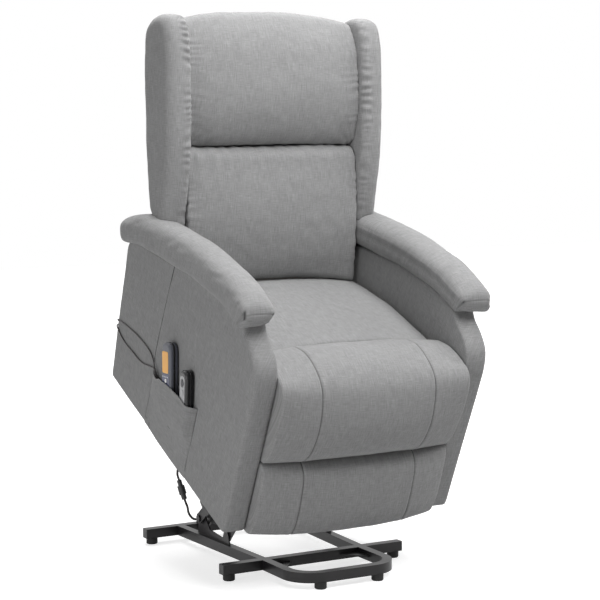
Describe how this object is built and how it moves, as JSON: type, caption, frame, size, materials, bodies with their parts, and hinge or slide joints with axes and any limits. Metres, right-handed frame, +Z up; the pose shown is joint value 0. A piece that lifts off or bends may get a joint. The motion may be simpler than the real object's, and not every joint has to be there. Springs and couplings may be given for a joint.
{
  "type": "lift recliner chair",
  "caption": "Upholstered wing-back lift and recline armchair on a welded steel base, with a powered lift linkage, swing-out footrest, reclining back and handsets in a side pocket.",
  "frame": {"origin": "on the floor, below the middle of the bounding box of the chair with the lift raised", "axes": "+Z up, -Y the way a sitter faces, +X to the sitter's left hand"},
  "size_m": [0.72, 0.8722, 1.4445],
  "materials": {
    "steel": "gloss",
    "rubber": "matte",
    "plastic": "satin",
    "cloth": "matte",
    "cloth_body": "matte",
    "timber": "matte",
    "webbing": "matte",
    "slate": "satin",
    "amber": "gloss",
    "gloss_black": "gloss",
    "button": "satin",
    "cord": "matte",
    "bright": "satin"
  },
  "bodies": {
    "base": {"front_crossbar": "steel", "rear_crossbar": "steel", "rail_left": "steel", "rail_right": "steel", "front_loop": "steel", "pivot_plate_left": "steel", "pivot_plate_right": "steel", "end_cap_front_left": "plastic", "end_cap_front_right": "plastic", "end_cap_rear_left": "plastic", "end_cap_rear_right": "plastic", "foot_front_left": "rubber", "foot_front_right": "rubber", "foot_rear_left": "rubber", "foot_rear_right": "rubber", "foot_loop_left": "rubber", "foot_loop_right": "rubber", "hinge_pin_rear": "steel"},
    "front_links": {"front_link_frame": "steel"},
    "rear_links": {"rear_link_frame": "steel"},
    "actuator": {"actuator_body": "plastic", "motor_lead": "cord", "lead_connector": "plastic"},
    "rod": {"actuator_rod": "bright"},
    "chair": {"mech_plate_left": "steel", "mech_plate_right": "steel", "lift_frame": "steel", "seat_frame": "timber", "seat_deck": "webbing", "seat_cushion": "cloth", "control_box": "plastic", "rear_panel": "cloth_body", "side_panel_left": "cloth_body", "side_panel_right": "cloth_body", "arm_pad_left": "cloth", "arm_pad_right": "cloth", "side_pocket": "cloth_body", "handset_massage": "slate", "handset_lift": "gloss_black", "cord_massage": "cord", "cord_lift": "cord", "cord_grommet": "plastic"},
    "footrest_arms": {"footrest_arms": "steel"},
    "footrest": {"footrest_roll": "cloth", "footrest_pad": "cloth", "footrest_board": "timber", "footrest_bracket_left": "steel", "footrest_bracket_right": "steel"},
    "backrest": {"back_board": "timber", "back_bracket_left": "steel", "back_bracket_right": "steel", "lumbar_cushion": "cloth", "headrest_cushion": "cloth", "wing_left": "cloth", "wing_right": "cloth", "back_cover": "cloth_body"},
    "button_massage": {"massage_button": "amber"},
    "button_up": {"lift_button_up": "button"},
    "button_down": {"lift_button_down": "button"}
  },
  "joints": [
    {"name": "lift", "type": "hinge", "parent": "base", "child": "front_links", "pos_m": [0, 0.0876, 0.064], "axis": [1, 0, 0], "range_deg": [0, 34.59]},
    {"name": "rear_link_swing", "type": "hinge", "parent": "base", "child": "rear_links", "pos_m": [0, 0.2326, 0.085], "axis": [1, 0, 0], "range_deg": [0, 30.3]},
    {"name": "chair_tilt", "type": "hinge", "parent": "front_links", "child": "chair", "pos_m": [0, -0.11746, 0.27344], "axis": [1, 0, 0], "range_deg": [-59.3, 0]},
    {"name": "actuator_swing", "type": "hinge", "parent": "base", "child": "actuator", "pos_m": [-0.097, 0.3076, 0.075], "axis": [1, 0, 0], "range_deg": [0, 28.1]},
    {"name": "rod_slide", "type": "slide", "parent": "actuator", "child": "rod", "axis": [0, -0.6957, 0.7183], "range_m": [-0.081, 0]},
    {"name": "recline", "type": "hinge", "parent": "chair", "child": "backrest", "pos_m": [0, 0.23211, 0.75293], "axis": [-1, 0, 0], "range_deg": [0, 30]},
    {"name": "footrest_arm_swing", "type": "hinge", "parent": "chair", "child": "footrest_arms", "pos_m": [0, -0.17408, 0.24745], "axis": [1, 0, 0], "range_deg": [0, 22.05]},
    {"name": "footrest_turn", "type": "hinge", "parent": "footrest_arms", "child": "footrest", "pos_m": [0, -0.31947, 0.51632], "axis": [1, 0, 0], "range_deg": [-102, 0]},
    {"name": "press_massage", "type": "slide", "parent": "chair", "child": "button_massage", "axis": [1, 0, 0], "range_m": [0, 0.0012], "stiffness_N_per_m": 300},
    {"name": "press_up", "type": "slide", "parent": "chair", "child": "button_up", "axis": [1, 0, 0], "range_m": [0, 0.0012], "stiffness_N_per_m": 300},
    {"name": "press_down", "type": "slide", "parent": "chair", "child": "button_down", "axis": [1, 0, 0], "range_m": [0, 0.0012], "stiffness_N_per_m": 300}
  ],
  "couplings": [
    {"joint": "rear_link_swing", "follows": "lift", "ratio": 0.87282},
    {"joint": "chair_tilt", "follows": "lift", "ratio": -1.7126},
    {"joint": "actuator_swing", "follows": "lift", "ratio": 0.80857},
    {"joint": "rod_slide", "follows": "lift", "m_per_rad": -0.133},
    {"joint": "footrest_arm_swing", "follows": "footrest_turn", "ratio": -0.21569}
  ]
}
